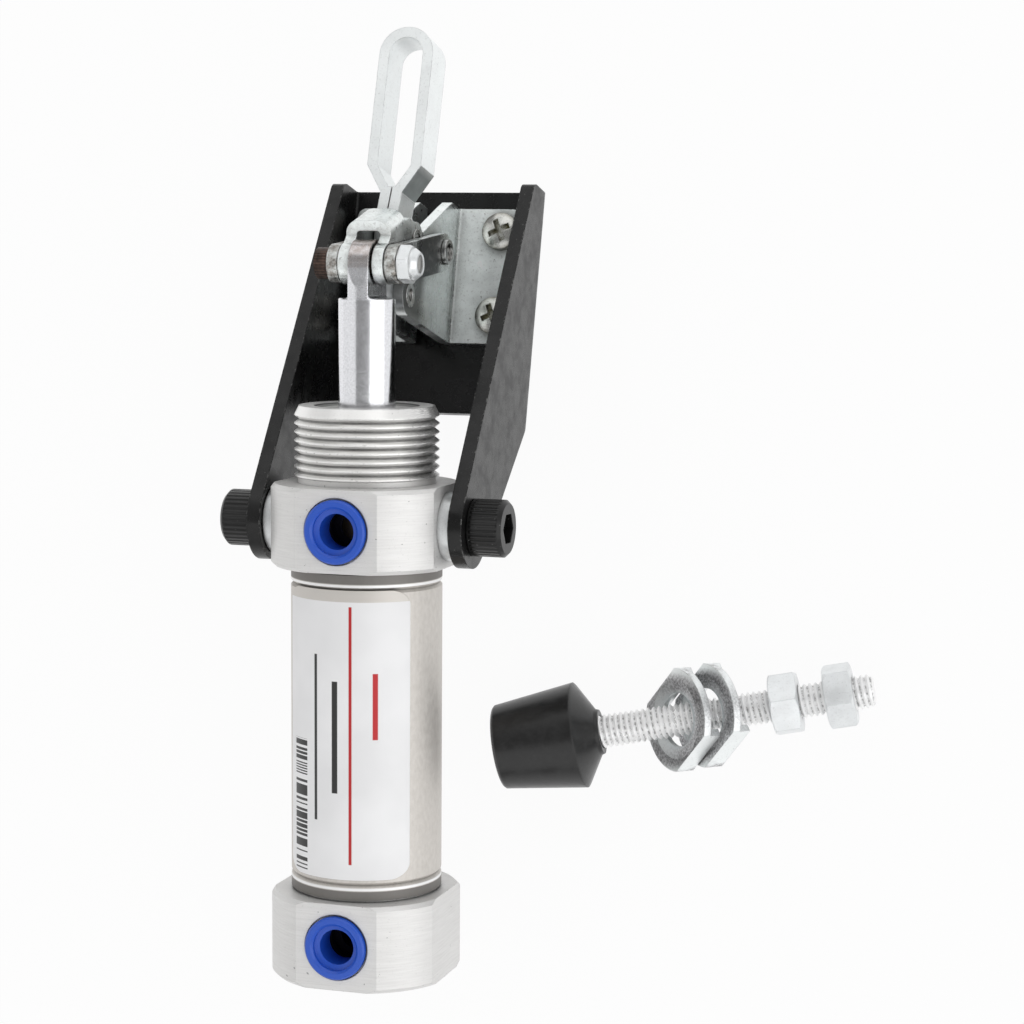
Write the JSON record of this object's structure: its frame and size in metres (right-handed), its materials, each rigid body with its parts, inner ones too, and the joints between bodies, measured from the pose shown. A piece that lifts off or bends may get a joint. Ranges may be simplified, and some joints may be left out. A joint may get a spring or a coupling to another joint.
{
  "type": "pneumatic toggle clamp",
  "caption": "Toggle clamp worked by a trunnion-mounted round air cylinder, with a riveted steel linkage, a slotted arm and a loose rubber-tipped spindle.",
  "frame": {"origin": "centre of the four base screws on the mounting face of the bracket", "axes": "+X along the pivots, +Y along the base towards the arm's tip, +Z out of the base towards the linkage"},
  "size_m": [0.1123, 0.1696, 0.0518],
  "materials": {
    "black_steel": "black coating with worn, speckled edges",
    "zinc_frame": "dull mottled zinc plating",
    "screw_zinc": "dull zinc with dirt",
    "rivet_steel": "zinc-plated steel",
    "arm_zinc": "worn zinc plating",
    "rusty_bolt": "brown, tarnished steel",
    "bright_zinc": "bright zinc plating",
    "nylon": "off-white nylon",
    "rod_chrome": "polished chrome plating",
    "cover_aluminium": "satin, sandblasted",
    "seal_rubber": "black rubber",
    "brown_plastic": "brown filled plastic",
    "tube_steel": "drawn stainless steel",
    "bronze": "sintered bronze",
    "bare_label": "silver film without print",
    "black_oxide": "black oxide",
    "blue_plastic": "blue acetal",
    "tip_rubber": "black rubber, dusty at the small end"
  },
  "bodies": {
    "base": {"bracket": "black_steel", "frame_left": "zinc_frame", "frame_right": "zinc_frame", "base_screws": "screw_zinc", "link_rivet": "rivet_steel", "arm_rivet": "rivet_steel", "spindle": "bright_zinc", "rubber_tip": "tip_rubber", "flanged_washer_inner": "arm_zinc", "flanged_washer_outer": "arm_zinc", "spindle_nuts": "bright_zinc"},
    "cylinder": {"tube": "tube_steel", "head_cover": "cover_aluminium", "rod_cover": "cover_aluminium", "rod_bush": "bronze", "rod_seal": "seal_rubber", "bumpers": "seal_rubber", "port_seals": "seal_rubber", "label": "bare_label", "spacer_rings": "bright_zinc", "trunnion_screw_left": "black_oxide", "trunnion_screw_right": "black_oxide"},
    "piston_rod": {"rod": "rod_chrome", "piston": "cover_aluminium", "piston_seal": "seal_rubber", "wear_ring": "brown_plastic"},
    "links": {"link_left": "zinc_frame", "link_right": "zinc_frame", "link_washers": "rivet_steel", "knuckle_bolt": "rusty_bolt", "lock_nut": "bright_zinc", "nut_insert": "nylon"},
    "yoke": {"yoke": "zinc_frame", "yoke_rivet": "rivet_steel"},
    "arm": {"arm": "arm_zinc"},
    "upper_ring": {"upper_release_ring": "blue_plastic"},
    "lower_ring": {"lower_release_ring": "blue_plastic"}
  },
  "joints": [
    {"name": "rod_retract", "type": "slide", "parent": "cylinder", "child": "piston_rod", "axis": [0, -0.9675, -0.253], "range_m": [0, 0.0133]},
    {"name": "cylinder_swing", "type": "hinge", "parent": "base", "child": "cylinder", "pos_m": [0, -0.0501, 0.0272], "axis": [1, 0, 0], "range_deg": [-9.7, 0]},
    {"name": "link_swing", "type": "hinge", "parent": "base", "child": "links", "pos_m": [0, 0.0011, 0.0168], "axis": [1, 0, 0], "range_deg": [0, 38.5]},
    {"name": "yoke_swing", "type": "hinge", "parent": "links", "child": "yoke", "pos_m": [0, -0.0065, 0.0386], "axis": [1, 0, 0], "range_deg": [0, 51.3]},
    {"name": "arm_swing", "type": "hinge", "parent": "base", "child": "arm", "pos_m": [0, -0.0092, 0.0269], "axis": [1, 0, 0], "range_deg": [0, 70.8]},
    {"name": "upper_ring_push", "type": "slide", "parent": "cylinder", "child": "upper_ring", "axis": [0, 0.253, -0.9675], "range_m": [0, 0.0008], "stiffness_N_per_m": 800, "springref_m": -0.0005},
    {"name": "lower_ring_push", "type": "slide", "parent": "cylinder", "child": "lower_ring", "axis": [0, 0.253, -0.9675], "range_m": [0, 0.0008], "stiffness_N_per_m": 800, "springref_m": -0.0005}
  ],
  "couplings": [
    {"joint": "cylinder_swing", "follows": "rod_retract", "rad_per_m": -12.6},
    {"joint": "link_swing", "follows": "rod_retract", "rad_per_m": 50.39},
    {"joint": "yoke_swing", "follows": "rod_retract", "rad_per_m": 67.19},
    {"joint": "arm_swing", "follows": "rod_retract", "rad_per_m": 92.78}
  ]
}
